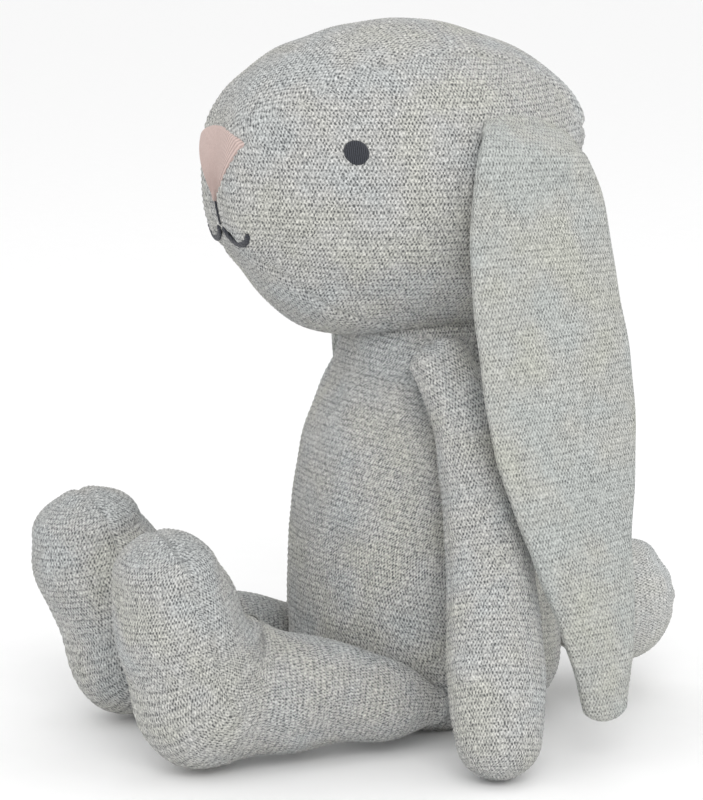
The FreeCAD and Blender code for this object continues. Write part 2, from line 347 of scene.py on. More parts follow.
def on_head(points):
    """The nearest points of the head's outside, moving square to the nose-to-nape line."""
    z, a, b = head_halves(points[:, 1])
    share = np.hypot(points[:, 0] / a, (points[:, 2] - z) / b)
    share = np.maximum(share, 1e-6)
    return np.stack([points[:, 0] / share, points[:, 1], z + (points[:, 2] - z) / share], 1)


def face_y(x, z):
    """Depth of the front of the head at x, z."""
    low = np.full(len(x), HEAD_MIDDLE[0] - HEAD_FRONT + 0.001)
    high = np.full(len(x), HEAD_MIDDLE[0])
    for _ in range(40):
        y = (low + high) / 2
        middle, a, b = head_halves(y)
        outside = (x / a) ** 2 + ((z - middle) / b) ** 2 > 1
        low, high = np.where(outside, y, low), np.where(outside, high, y)
    return (low + high) / 2


def head_form(cell=None):
    """Head from nose to nape, pressed in by the ball of the neck."""
    t = np.radians(np.linspace(0.3, 179.7, 500))
    y = HEAD_MIDDLE[0] - np.where(np.cos(t) > 0, HEAD_FRONT, HEAD_BACK) * np.cos(t)
    z, a, b = head_halves(y)
    centre = np.stack([np.zeros(len(y)), y, z], 1)
    # columns start and end under the chin
    down = np.repeat([[0, 0, -1.0]], len(y), 0)
    left = np.repeat([[1.0, 0, 0]], len(y), 0)
    form = Form(centre, down, left, b, a, ((0, -1, 0), (0, 1, 0)), cell)
    from_neck = form.points - NECK
    distance = np.linalg.norm(from_neck, axis=2, keepdims=True)
    form.points = np.where(distance < DISH, NECK + from_neck * DISH / distance, form.points)
    form.measure(((0, -1, 0), (0, 1, 0)))
    return form


def ball_form(centre, radius, axis, side, low, cell=None):
    """Ball with its last pole along axis; low is the angle above the middle where it starts."""
    axis, side = np.array(axis, float), np.array(side, float)
    lift = np.radians(np.linspace(low, 90, 200))[:, None]
    rows = centre + axis * radius * np.sin(lift)
    a = (radius * np.cos(lift))[:, 0]
    side = np.repeat([side], len(rows), 0)
    first = -axis if low <= -90 else None
    return Form(rows, side, np.cross(axis, side), a, a, (first, axis), cell)


# ---- seams, stitches and meshes -----------------------------------------------------------
def flat_mesh(form):
    """The form's table as a flat mesh: x counts its rows and y its columns."""
    rows, columns = form.points.shape[:2]
    i, j = np.meshgrid(np.arange(rows), np.arange(columns), indexing="ij")
    corner = (i[:-1, :-1] * columns + j[:-1, :-1]).ravel()
    quads = np.stack([corner, corner + 1, corner + columns + 1, corner + columns], 1)
    mesh = bpy.data.meshes.new("flat")
    mesh.from_pydata(np.stack([i.ravel(), j.ravel(), 0 * i.ravel()], 1).tolist(), [], quads.tolist())
    flat = bmesh.new()
    flat.from_mesh(mesh)
    bpy.data.meshes.remove(mesh)
    return flat


def cut(flat, form, fields):
    """Cuts a flat mesh where each field of the form's points is zero; returns places and faces."""
    for field in fields:
        at = np.array([v.co[:2] for v in flat.verts])
        for vert, value in zip(flat.verts, field(form.sample(form.points, at))):
            vert.co.z = value
        bmesh.ops.bisect_plane(flat, geom=flat.verts[:] + flat.edges[:] + flat.faces[:],
                               dist=0.08, plane_co=(0, 0, 0), plane_no=(0, 0, 1))
    flat.verts.index_update()
    at = np.array([v.co[:2] for v in flat.verts])
    faces = [[v.index for v in f.verts] for f in flat.faces]
    flat.free()
    return at, faces


def middles(values, faces):
    """Average of per-vertex values over each face."""
    sizes = np.array([len(f) for f in faces])
    flat = np.concatenate([np.array(f) for f in faces]) if len(faces) else np.zeros(0, int)
    starts = np.concatenate([[0], np.cumsum(sizes)[:-1]])
    return np.add.reduceat(values[flat], starts, axis=0) / sizes[:, None]


def seam_relief(distance):
    """Groove along a seam, with the fabric swelling beside it."""
    return (-SEAM_DEPTH * np.exp(-(distance / SEAM_WIDTH) ** 2)
            + SEAM_PUFF * np.exp(-((distance - 3.6) / 2.2) ** 2))


def stitch_relief(stitches, distance):
    """Ridges along the rows and holes between stitches, fading out at a seam."""
    row = np.cos(2 * math.pi * stitches[:, 1])
    holes = np.cos(2 * math.pi * stitches[:, 0]) * row
    return (RIDGE * row - RELIEF * holes) * step((distance - 0.6) / 2)


def crease(points, line, depth, width):
    """Soft fold along a line of points, deepest in its middle and rising beside it."""
    line = np.array(line, float)
    lengths = np.linalg.norm(np.diff(line, axis=0), axis=1)
    total, best, place = lengths.sum(), np.full(len(points), 1e9), np.zeros(len(points))
    so_far = 0.0
    for start, end, length in zip(line[:-1], line[1:], lengths):
        t = np.clip((points - start) @ (end - start) / length ** 2, 0, 1)
        away = np.linalg.norm(points - start - t[:, None] * (end - start), axis=1)
        nearer = away < best
        best = np.where(nearer, away, best)
        place = np.where(nearer, (so_far + t * length) / total, place)
        so_far += length
    fade = np.sin(np.clip(place, 0.02, 0.98) * math.pi) ** 0.7
    return depth * fade * (0.45 * np.exp(-((best - 1.9 * width) / width) ** 2)
                           - np.exp(-(best / width) ** 2))


def make_piece(name, points, faces, stitches, outward, mirror=False, back=0.0):
    """Mesh object from millimetre points, with the map of its stitches; mirror makes the right one."""
    used = np.unique(np.concatenate([np.array(f) for f in faces]))
    renumber = np.full(len(points), -1)
    renumber[used] = np.arange(len(used))
    points, stitches, outward = points[used], stitches[used], outward[used]
    if mirror:
        flip = np.array([-1, 1, 1])
        points, outward = points * flip, outward * flip
        if back:
            c, s = math.cos(math.radians(-back)), math.sin(math.radians(-back))
            turn = np.array([[c, -s, 0], [s, c, 0], [0, 0, 1]])
            axis = np.array([*BODY_AXIS, 0])
            points, outward = (points - axis) @ turn.T + axis, outward @ turn.T
    mesh = bpy.data.meshes.new(name)
    mesh.from_pydata((points * MM).tolist(), [], [renumber[np.array(f)].tolist() for f in faces])
    layer = mesh.uv_layers.new(name="knit")
    loops = np.zeros(len(mesh.loops), np.int32)
    mesh.loops.foreach_get("vertex_index", loops)
    layer.data.foreach_set("uv", stitches[loops].astype(np.float32).ravel())
    made = bmesh.new()
    made.from_mesh(mesh)
    made.faces.ensure_lookup_table()
    sample = list(made.faces)[::max(1, len(made.faces) // 400)]
    agree = sum(f.normal.dot(Vector(outward[f.verts[0].index])) for f in sample)
    if agree < 0:
        bmesh.ops.reverse_faces(made, faces=made.faces[:])
    bmesh.ops.remove_doubles(made, verts=made.verts[:], dist=2e-6)
    made.to_mesh(mesh)
    made.free()
    mesh.shade_smooth()
    piece = bpy.data.objects.new(name, mesh)
    bpy.context.scene.collection.objects.link(piece)
    return piece


def dress(piece, material, nodes):
    """Gives a piece its material and slot, and hides the CAD nodes that it stands for."""
    piece.data.materials.append(material)
    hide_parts(*nodes)
    return piece


def whole(form, region_of, fields, seam_of, shape_of, stitches_of, seam_share=1.0):
    """Cuts a form at its seams and shapes it; returns points, normals, faces and stitch maps.

    region_of(points, place) numbers the faces' panels, seam_of gives the distance to a seam,
    shape_of the larger folds, and stitches_of a stitch map for each panel.
    """
    at, faces = cut(flat_mesh(form), form, fields)
    base, normal = form.sample(form.points, at), unit(form.sample(form.normal, at))
    place = np.stack(form.where(at), 1)
    distance = seam_of(base, place)
    lift = seam_share * seam_relief(distance) + shape_of(base, place)
    points = base + normal * lift[:, None]
    region = region_of(middles(base, faces), middles(place, faces))
    panels = {}
    for number in np.unique(region):
        chosen = [faces[k] for k in np.flatnonzero(region == number)]
        stitches = stitches_of[number](base, place, at)
        relief = stitch_relief(stitches, distance)
        panels[number] = (points + normal * relief[:, None], chosen, stitches, normal)
    return panels


# ---- materials ----------------------------------------------------------------------------
def linear(r, g, b):
    """Linear colour of screen values 0 to 255."""
    return tuple(((c / 255 + 0.055) / 1.055) ** 2.4 if c > 10 else c / 255 / 12.92
                 for c in (r, g, b)) + (1.0,)


class Nodes:
    """Short ways to build a node tree."""

    def __init__(self, name):
        self.material = bpy.data.materials.new(name)
        self.material.use_nodes = True
        self.tree = self.material.node_tree
        self.shader = self.tree.nodes["Principled BSDF"]

    def add(self, kind, inputs=(), **settings):
        node = self.tree.nodes.new(kind)
        for key, value in settings.items():
            setattr(node, key, value)
        for key, value in dict(inputs).items():
            if isinstance(value, bpy.types.NodeSocket):
                self.tree.links.new(value, node.inputs[key])
            else:
                node.inputs[key].default_value = value
        return node

    def math(self, operation, a, b=0.0, c=0.0, clamp=False):
        node = self.add("ShaderNodeMath", {0: a, 1: b, 2: c}, operation=operation, use_clamp=clamp)
        return node.outputs[0]

    def mix(self, share, a, b, blend="MIX"):
        node = self.add("ShaderNodeMix", data_type="RGBA", blend_type=blend)
        for key, value in ((0, share), (6, a), (7, b)):
            if isinstance(value, bpy.types.NodeSocket):
                self.tree.links.new(value, node.inputs[key])
            else:
                node.inputs[key].default_value = value
        return node.outputs[2]

    def noise(self, scale, detail=2.0, where=None):
        where = where or self.add("ShaderNodeTexCoord").outputs["Object"]
        return self.add("ShaderNodeTexNoise", {"Vector": where, "Scale": scale, "Detail": detail})

    def shade(self, colour, roughness, height=None, distance=0.0004, strength=1.0):
        self.tree.links.new(colour, self.shader.inputs["Base Color"])
        self.shader.inputs["Roughness"].default_value = roughness
        if height is not None:
            bump = self.add("ShaderNodeBump", {"Height": height, "Distance": distance,
                                               "Strength": strength})
            self.tree.links.new(bump.outputs[0], self.shader.inputs["Normal"])


def knit_material(name, light, dark, tints, contrast=1.0):
    """Melange knit: loops with painted shade in the holes and row valleys, patches of tint, loose
    fibres.
    """
    n = Nodes(name)
    stitch = n.add("ShaderNodeUVMap", uv_map="knit").outputs[0]
    wander = n.noise(420.0, 2.0)
    shift = n.add("ShaderNodeVectorMath", {0: wander.outputs["Color"], 1: (0.5, 0.5, 0.5)},
                  operation="SUBTRACT")
    shift = n.add("ShaderNodeVectorMath", {0: shift.outputs[0], "Scale": 0.7}, operation="SCALE")
    moved = n.add("ShaderNodeVectorMath", {0: stitch, 1: shift.outputs[0]}, operation="ADD")
    parts = n.add("ShaderNodeSeparateXYZ", {0: moved.outputs[0]})
    waves = [n.math("COSINE", n.math("MULTIPLY", parts.outputs[k], per_stitch * 2 * math.pi))
             for k, per_stitch in ((0, LOOPS), (1, 1.0))]
    holes = n.math("MULTIPLY", waves[0], waves[1])
    # painted shade: the holes between the stitches are darkened in colour, more in some places than
    # others
    gap = n.add("ShaderNodeMapRange", {0: holes, 1: -0.25, 2: 0.95},
                interpolation_type="SMOOTHSTEP").outputs[0]
    fibre = n.noise(1150.0, 3.0).outputs["Fac"]
    fleck = n.add("ShaderNodeMapRange", {0: fibre, 1: 0.32, 2: 0.68}).outputs[0]
    hole_shade_and_depth = n.math("MULTIPLY", gap, n.math("MULTIPLY_ADD", n.noise(300.0, 2.0).outputs["Fac"],
                                              1.7, -0.1), clamp=True)
    shade = n.math("MULTIPLY_ADD", hole_shade_and_depth, 0.56 * contrast,
                   n.math("MULTIPLY", n.math("SUBTRACT", 1.0, fleck), 0.62 * contrast), clamp=True)
    # painted shade along the valleys between the rows' ridges
    row_valley_shade = n.math("MULTIPLY_ADD", waves[1], -0.09 * contrast, 0.07 * contrast)
    shade = n.math("ADD", shade, row_valley_shade, clamp=True)
    # dark is the colour of the dark fibre flecks and of the painted shade
    colour = n.mix(shade, light, dark)
    patch = n.noise(38.0, 3.0).outputs["Fac"]
    ramp = n.add("ShaderNodeValToRGB", {0: patch})
    ramp.color_ramp.elements[0].position = 0.36
    ramp.color_ramp.elements[0].color = tints[0]
    ramp.color_ramp.elements[1].position = 0.64
    ramp.color_ramp.elements[1].color = tints[2]
    ramp.color_ramp.elements.new(0.5).color = tints[1]
    colour = n.mix(0.75, colour, ramp.outputs[0], "MULTIPLY")
    height = n.math("SUBTRACT", n.math("MULTIPLY", fibre, 0.45), hole_shade_and_depth)
    n.shade(colour, 0.94, height, 0.0005, 0.9)
    n.shader.inputs["Specular IOR Level"].default_value = 0.18
    n.shader.inputs["Sheen Weight"].default_value = 0.12
    n.shader.inputs["Sheen Roughness"].default_value = 0.6
    return n.material


def satin_material(name, base, deep, threads):
    """Satin stitches: fine threads side by side, with painted shade in the grooves between them."""
    n = Nodes(name)
    stitch = n.add("ShaderNodeSeparateXYZ", {0: n.add("ShaderNodeUVMap", uv_map="knit").outputs[0]})
    wave = n.math("COSINE", n.math("MULTIPLY", stitch.outputs[0], 2 * math.pi * threads))
    grain = n.noise(900.0, 3.0).outputs["Fac"]
    # painted shade in the grooves between the threads; deep is the colour of this shade and of the
    # darker grain
    between = n.add("ShaderNodeMapRange", {0: wave, 1: -1.0, 2: 0.2, 3: 1.0, 4: 0.0}).outputs[0]
    shade = n.math("MULTIPLY_ADD", between, 0.55, n.math("MULTIPLY", grain, 0.35), clamp=True)
    n.shade(n.mix(shade, base, deep), 0.5, n.math("MULTIPLY_ADD", between, -1.0, grain), 0.0003, 0.8)
    n.shader.inputs["Sheen Weight"].default_value = 0.1
    return n.material


def loose_material(name, light, dark, scale):
    """Loose fibres or plain woven cotton, for what is inside."""
    n = Nodes(name)
    tangle = n.noise(scale, 6.0).outputs["Fac"]
    fold = n.noise(scale / 9, 3.0).outputs["Fac"]
    shade = n.math("MULTIPLY_ADD", tangle, 0.7, n.math("MULTIPLY", fold, 0.4), clamp=True)
    n.shade(n.mix(shade, light, dark), 0.95, tangle, 0.0008, 0.7)
    return n.material


BODY_TINTS = (linear(252, 251, 243), linear(250, 249, 248), linear(244, 248, 251))
# second colour of each knit: its dark fibre flecks and the painted shade in its holes and row valleys
body_knit = knit_material("knit_body", linear(222, 222, 219), linear(94, 96, 97), BODY_TINTS, 1.02)
# the ear's yarn is the body's yarn with its light colour toned darker: painted shade
ear_knit_painted_shade = knit_material("knit_ear_painted_shade", linear(210, 211, 206), linear(112, 114, 112), BODY_TINTS, 0.9)
tail_knit = knit_material("knit_tail", linear(230, 230, 227), linear(128, 130, 129), BODY_TINTS)
# second colour of each satin: its darker grain and the painted shade between its threads
pink_satin = satin_material("satin_nose", linear(208, 186, 179), linear(160, 138, 132), 1.0)
dark_satin = satin_material("satin_dark", linear(46, 50, 60), linear(16, 18, 26), 1.0)
stuffing = loose_material("stuffing", linear(240, 240, 236), linear(205, 205, 200), 700.0)
cotton = loose_material("cotton", linear(232, 228, 218), linear(190, 186, 176), 1600.0)


# ---- body ---------------------------------------------------------------------------------
def core(form, keep=None, swell=None):
    """Lumpy stuffing just inside a cover: points, faces, stitch map and normals."""
    at, faces = cut(flat_mesh(form), form, ())
    points, normal = form.sample(form.points, at), unit(form.sample(form.normal, at))
    place = np.stack(form.where(at), 1)
    centre = np.stack([np.interp(at[:, 0], np.arange(len(form.along)), c) for c in form.centre.T], 1)
    away = unit(points - centre)
    turned_in = (normal * away).sum(1, keepdims=True) < -0.1
    away = unit(np.where(turned_in, away, normal) + 0.6 * away)
    inset = CORE_INSET + 0.8 * ripple(points, 14.0, 5)
    if swell:
        inset = inset - swell(points)
    points = points - away * inset[:, None]
    if keep:
        chosen = keep(middles(place, faces))
        faces = [faces[k] for k in np.flatnonzero(chosen)]
    return points, faces, place * 0.1, normal


def stuff(name, node, shell, mirror=False, back=0.0):
    """Piece of stuffing that stands for a CAD node."""
    piece = make_piece(name, *shell, mirror, back)
    return dress(piece, stuffing, [node])


def make_body():
    """Front, back and seat of the body's cover, with its stuffing."""
    form = torso_form()

    def seam(points, place):
        side = np.abs(np.sin(place[:, 1])) * 45
        side = np.where(points[:, 2] > BASE_SEAM_Z, side, NO_SEAM)
        return np.minimum(side, np.abs(points[:, 2] - BASE_SEAM_Z))

    def shape(points, place):
        turn = np.arctan2(points[:, 0], SIDE_SEAM_Y - points[:, 1])
        near_neck = np.exp(-((points[:, 2] - 138) / 11) ** 2)
        gathers = 0.5 * near_neck * np.cos(13 * turn + 1.4 * np.sin(3 * turn))
        loose = step((points[:, 2] - 3) / 9) * step((148 - points[:, 2]) / 10)
        return (0.5 * ripple(points, 26.0, 11) + gathers) * loose

    def region(points, place):
        upper = np.where(points[:, 1] < SIDE_SEAM_Y, 1, 2)
        front = np.where(place[:, 1] > math.pi, 1, 2)
        return np.where(points[:, 2] < BASE_SEAM_Z, 0, np.where(upper == front, upper, front))

    def rounds(points, place, at):
        arc = form.sample(form.round, at)
        rise = place[:, 0] + 0.24 * (points[:, 1] - SIDE_SEAM_Y)
        return np.stack([arc / BODY_STITCH[0], rise / BODY_STITCH[1]], 1)

    def base(points, place, at):
        return points[:, :2] / np.array(BODY_STITCH)

    panels = whole(form, region, [lambda p: p[:, 2] - BASE_SEAM_Z], seam, shape,
                   {0: base, 1: rounds, 2: rounds})
    for number, name in ((0, "torso_base"), (1, "torso_front"), (2, "torso_back")):
        piece = make_piece(name + "_knit", *panels[number])
        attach(dress(piece, body_knit, [name]), "torso")
    shell = core(torso_form(CORE_CELL))
    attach(stuff("torso_stuffing", "torso_filling", shell), "torso")


def make_neck():
    """Knitted ball that the head turns on."""
    form = ball_form(NECK, NECK_BALL, (0, 0, 1), (1, 0, 0), NECK_FROM)

    def rounds(points, place, at):
        count = round(2 * math.pi * NECK_BALL / BODY_STITCH[0])
        return np.stack([place[:, 1] / (2 * math.pi) * count, place[:, 0] / BODY_STITCH[1]], 1)

    panels = whole(form, lambda p, q: np.zeros(len(p)), (),
                   lambda p, q: np.full(len(p), float(NO_SEAM)),
                   lambda p, q: -0.15 + 0.12 * ripple(p, 16.0, 4), {0: rounds})
    piece = make_piece("neck_knit", *panels[0])
    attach(dress(piece, body_knit, ["neck_filling"]), "neck")


# ---- head ---------------------------------------------------------------------------------
def crown_field(points):
    """Above zero on the crown strip."""
    edge = np.interp(points[:, 1], *CROWN_EDGE) - np.abs(points[:, 0])
    return np.minimum(edge, points[:, 2] - CROWN_FRONT_Z)


def chin_field(points):
    """Above zero on the strip under the chin."""
    edge = np.interp(points[:, 1], *CHIN_EDGE) - np.abs(points[:, 0])
    return np.minimum(edge, CHIN_TOP_Z - points[:, 2])


def head_fill(points):
    """How far the stuffing pushes the head's cover out: jowl, nape and small unevenness."""
    y, z = points[:, 1], points[:, 2]
    clear = step((np.linalg.norm(points - NECK, axis=1) - DISH) / 6)
    lift = 0.45 * ripple(points, 30.0, 21)
    for size, (middle_y, reach_y), (middle_z, reach_z) in HEAD_FILL:
        lift = lift + size * np.exp(-((y - middle_y) / reach_y) ** 2 - ((z - middle_z) / reach_z) ** 2)
    side = np.abs(points[:, 0])
    blunt = np.exp(-((side - 17) / 8) ** 2) - 0.9 * np.exp(-(side / 9) ** 2)
    lift = lift + BLUNT * blunt * step((-56 - y) / 14)
    return lift * clear


def head_shape(points, place):
    """Fill of the head and the pull of the ear and the mouth."""
    lift = head_fill(points)
    mirrored = np.stack([np.abs(points[:, 0]), points[:, 1], points[:, 2]], 1)
    for line, depth, width in HEAD_CREASES:
        lift = lift + crease(mirrored, line, depth, width)
    return lift


def make_head():
    """Crown, chin and side panels of the head, with its stuffing."""
    form = head_form()

    def seam(points, place):
        crown, chin = crown_field(points), chin_field(points)
        middle = np.where((crown < 0) & (chin < 0), np.abs(points[:, 0]), NO_SEAM)
        near = np.minimum(np.minimum(np.abs(crown), np.abs(chin)), middle)
        return np.where(np.linalg.norm(points - NECK, axis=1) < DISH + 0.5, NO_SEAM, near)

    def region(points, place):
        side = np.where(points[:, 0] > 0, 2, 3)
        side = np.where(chin_field(points) > 0, 1, side)
        return np.where(crown_field(points) > 0, 0, side)

    # how far round the widest level each angle is, for the upright wales of the side panels
    turns = np.linspace(0, math.pi, 400)
    outline = np.stack([HEAD_HALF[0] * np.sin(turns),
                        -np.where(turns < math.pi / 2, HEAD_FRONT, HEAD_BACK) * np.cos(turns)], 1)
    arc = np.concatenate([[0], np.cumsum(np.linalg.norm(np.diff(outline, axis=0), axis=1))])
    arc -= np.interp(math.pi / 2, turns, arc)
    width, height = HEAD_STITCH

    def side(points, place, at):
        rise = np.clip((points[:, 2] - HEAD_MIDDLE[1]) / (HEAD_HALF[1] + 1), -0.97, 0.97)
        ahead = HEAD_MIDDLE[0] - points[:, 1]
        reach = np.where(ahead > 0, HEAD_FRONT, HEAD_BACK)
        turn = np.arctan2(np.abs(points[:, 0]) / HEAD_HALF[0], ahead / reach)
        round_ = np.interp(turn, turns, arc) * np.sqrt(1 - rise ** 2)
        return np.stack([round_ / width, HEAD_HALF[1] * np.arcsin(rise) / height], 1)

    def strip(points, place, at):
        return np.stack([points[:, 0] / width, place[:, 0] / height], 1)

    panels = whole(form, region, [crown_field, chin_field, lambda p: p[:, 0]], seam, head_shape,
                   {0: strip, 1: strip, 2: side, 3: side})
    for number, name in ((0, "head_crown"), (1, "head_chin"), (2, "head_side_left"),
                         (3, "head_side_right")):
        piece = make_piece(name + "_knit", *panels[number])
        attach(dress(piece, body_knit, [name]), "head")
    shell = core(head_form(CORE_CELL), swell=head_fill)
    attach(stuff("head_stuffing", "head_filling", shell), "head")


def grid_faces(shape, start=0):
    """Faces of a grid of points whose first point is numbered start."""
    rows, columns = shape
    corner = (np.arange(rows - 1)[:, None] * columns + np.arange(columns - 1)).ravel() + start
    return list(np.stack([corner, corner + 1, corner + columns + 1, corner + columns], 1))


def head_normal(points):
    """Outward normals of the head, by small steps off its surface."""
    def outside(p):
        z, a, b = head_halves(p[:, 1])
        return (p[:, 0] / a) ** 2 + ((p[:, 2] - z) / b) ** 2
    slope = [outside(points + move) - outside(points - move) for move in np.eye(3) * 0.05]
    return unit(np.stack(slope, 1))


def on_face(x, z):
    """Points of the filled face in front of x, z, and its normals there."""
    base = np.stack([x, face_y(x, z), z], 1)
    normal = head_normal(base)
    return base + normal * head_fill(base)[:, None], normal


def make_nose():
    """Triangle of upright satin stitches that run together at the bottom."""
    count = 181
    s, r = np.meshgrid(np.linspace(-1, 1, count), np.linspace(0, 1, count))
    half, corner_z, bulge = NOSE_TOP
    x = s * half * (0.05 + 0.95 * r) ** 0.92
    top = corner_z + bulge * (1 - s ** 2)
    z = NOSE_BOTTOM_Z + r * (top - NOSE_BOTTOM_Z)
    x, z, s, r = x.ravel(), z.ravel(), s.ravel(), r.ravel()
    base, normal = on_face(x, z)
    edge = np.minimum((1 - np.abs(s)) * half * np.maximum(r, 0.1), (1 - r) * 26)
    edge = np.minimum(edge, 1.5 + r * 26)
    threads = s * NOSE_THREADS
    swell = 1.5 * np.sqrt(step(edge / 1.4)) - 0.5 + 0.07 * np.cos(2 * math.pi * threads)
    piece = make_piece("nose_satin", base + normal * swell[:, None], grid_faces((count, count)),
                       np.stack([threads, r * 8], 1), normal)
    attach(dress(piece, pink_satin, ["nose"]), "head")


def make_eyes():
    """Round satin-stitched eyes."""
    side_x, height, radius, facing = EYE
    count = 73
    ring = np.linspace(0, 1, count)
    turn = np.linspace(0, 2 * math.pi, 2 * count)
    r, t = (m.ravel() for m in np.meshgrid(ring, turn))
    flat = radius * r
    lean = math.cos(math.radians(facing))
    middle = np.array([side_x, face_y(np.array([side_x]), np.array([height]))[0], height])
    across = np.array([lean, math.sin(math.radians(facing)), 0])
    base = on_head(middle + (flat * np.cos(t))[:, None] * across
                   + (flat * np.sin(t))[:, None] * np.array([0, 0, 1.0]))
    normal = head_normal(base)
    base = base + normal * head_fill(base)[:, None]
    threads = flat * np.cos(t) / EYE_THREAD
    swell = 1.6 * np.sqrt(np.maximum(0, 1 - r ** 6)) - 0.5 + 0.06 * np.cos(2 * math.pi * threads)
    points = base + normal * swell[:, None]
    stitches = np.stack([threads, flat * np.sin(t)], 1)
    faces = grid_faces((2 * count, count))
    for side, mirror in (("left", False), ("right", True)):
        piece = make_piece("eye_%s_satin" % side, points, faces, stitches, normal, mirror)
        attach(dress(piece, dark_satin, ["eye_" + side]), "head")


def tube(x, z, radius):
    """Twisted thread lying on the face along x, z."""
    path, normal = on_face(x, z)
    path = path + normal * THREAD_LIFT
    ahead = unit(np.gradient(path, axis=0))
    side = unit(np.cross(ahead, normal))
    length = np.concatenate([[0], np.cumsum(np.linalg.norm(np.diff(path, axis=0), axis=1))])
    around = np.linspace(0, 2 * math.pi, 25)
    ends = np.sqrt(np.maximum(0.0, np.minimum(1, np.minimum(length, length[-1] - length) / radius)))
    twist = 1 + 0.1 * np.cos(3 * around[None, :] + length[:, None] * 2.4)
    size = radius * ends[:, None] * twist
    points = (path[:, None] + side[:, None] * (size * np.cos(around))[..., None]
              + normal[:, None] * (THREAD_FLAT * size * np.sin(around))[..., None])
    out = points - path[:, None]
    stitches = np.stack(np.broadcast_arrays(length[:, None] / 0.8 + around / 2, around), -1)
    return points.reshape(-1, 3), unit(out.reshape(-1, 3)), stitches.reshape(-1, 2), size.shape


def make_mouth():
    """Upright stem below the nose and a smile to each side, in thick dark thread."""
    middle_x, middle_z, half, drop = SMILE
    turn = np.linspace(0, math.pi * SMILE_TURN, 90)
    runs = [(np.zeros(60), np.linspace(NOSE_BOTTOM_Z + 1, middle_z, 60), STEM_R)]
    for sign in (1, -1):
        runs.append((sign * (middle_x - half * np.cos(turn)), middle_z - drop * np.sin(turn), SMILE_R))
    parts, faces, start = [], [], 0
    for x, z, radius in runs:
        points, normal, stitches, shape = tube(x, z, radius)
        faces += grid_faces(shape, start)
        start += len(points)
        parts.append((points, normal, stitches))
    points, normal, stitches = (np.vstack(each) for each in zip(*parts))
    piece = make_piece("mouth_thread", points, faces, stitches, normal)
    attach(dress(piece, dark_satin, ["mouth"]), "head")


# ---- limbs --------------------------------------------------------------------------------
def map_round(form, stitch, middle_turn):
    """Stitch map that runs along a limb, with its columns counted from an angle round it."""
    column = np.interp(middle_turn, form.turn, np.arange(len(form.turn)))

    def stitches(points, place, at):
        centre = form.sample(form.round, np.stack([at[:, 0], np.full(len(at), column)], 1))
        arc = form.sample(form.round, at) - centre
        return np.stack([arc / stitch[0], place[:, 0] / stitch[1]], 1)
    return stitches


def two_panels(form, stitch, shape, width, seam_share=1.0):
    """Panels 1 and 2 of a limb, with seams along its two edges."""
    half = np.maximum(np.linalg.norm(form.points[:, len(form.turn) // 4] - form.centre, axis=1),
                      width)

    def seam(points, place):
        return np.abs(np.sin(place[:, 1])) * np.interp(place[:, 0], form.along, half)

    def region(points, place):
        return np.where(place[:, 1] < math.pi, 1, 2)

    maps = {number: map_round(form, stitch, math.pi * (number - 0.5)) for number in (1, 2)}
    return whole(form, region, (), seam, shape, maps, seam_share)


def turned(point, back):
    """A point of the left side on the right, turned back round the body."""
    c, s = math.cos(math.radians(-back)), math.sin(math.radians(-back))
    x, y = -point[0] - BODY_AXIS[0], point[1] - BODY_AXIS[1]
    return (x * c - y * s + BODY_AXIS[0], x * s + y * c + BODY_AXIS[1], point[2])


def both_sides(panels, names, material, settle, back=0.0, differ=None):
    """Makes each panel on the left and the right, and hands it to settle.

    The right one is mirrored, changed by differ and turned back round the body.
    """
    for side, mirror in (("left", False), ("right", True)):
        for number, name in names:
            node = name % side
            points, faces, stitches, normal = panels[number]
            if mirror and differ:
                points = differ(points)
            piece = make_piece(node + "_knit", points, faces, stitches, normal, mirror,
                               back if mirror else 0.0)
            dress(piece, material, [node])
            settle(piece, side)


def stuff_sides(part, node_part, shells, settle, back=0.0):
    """Stuffing of a limb on the left and the right, from the shell for each side."""
    for side, mirror in (("left", False), ("right", True)):
        settle(stuff(part % side, node_part % side, shells[mirror], mirror,
                     back if mirror else 0.0), side)


def make_arms():
    """Two-panel arms that hang from rounded shoulders."""
    form = limb_form(ARM, (0, 1, 0), ARM_ENDS)

    def shape(points, place):
        top = step((136 - points[:, 2]) / -14)
        gathers = 0.5 * top * np.cos(5 * place[:, 1] + 0.6)
        return 0.45 * ripple(points, 22.0, 31) + gathers

    def settle(piece, side):
        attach(piece, "arm_" + side)

    def tucked(points):
        share = step((points[:, 2] - 128) / 20)
        return points + np.outer(share, [0, TUCKED_SHOULDER, 0])

    both_sides(two_panels(form, BODY_STITCH, shape, 2.0, FLAT_SEAM),
               ((1, "arm_%s_outer"), (2, "arm_%s_inner")), body_knit, settle,
               back=RIGHT_BACK, differ=tucked)
    shell = core(limb_form(ARM, (0, 1, 0), ARM_ENDS, CORE_CELL))
    stuff_sides("arm_%s_stuffing", "arm_%s_filling", (shell, (tucked(shell[0]), *shell[1:])),
                settle, RIGHT_BACK)


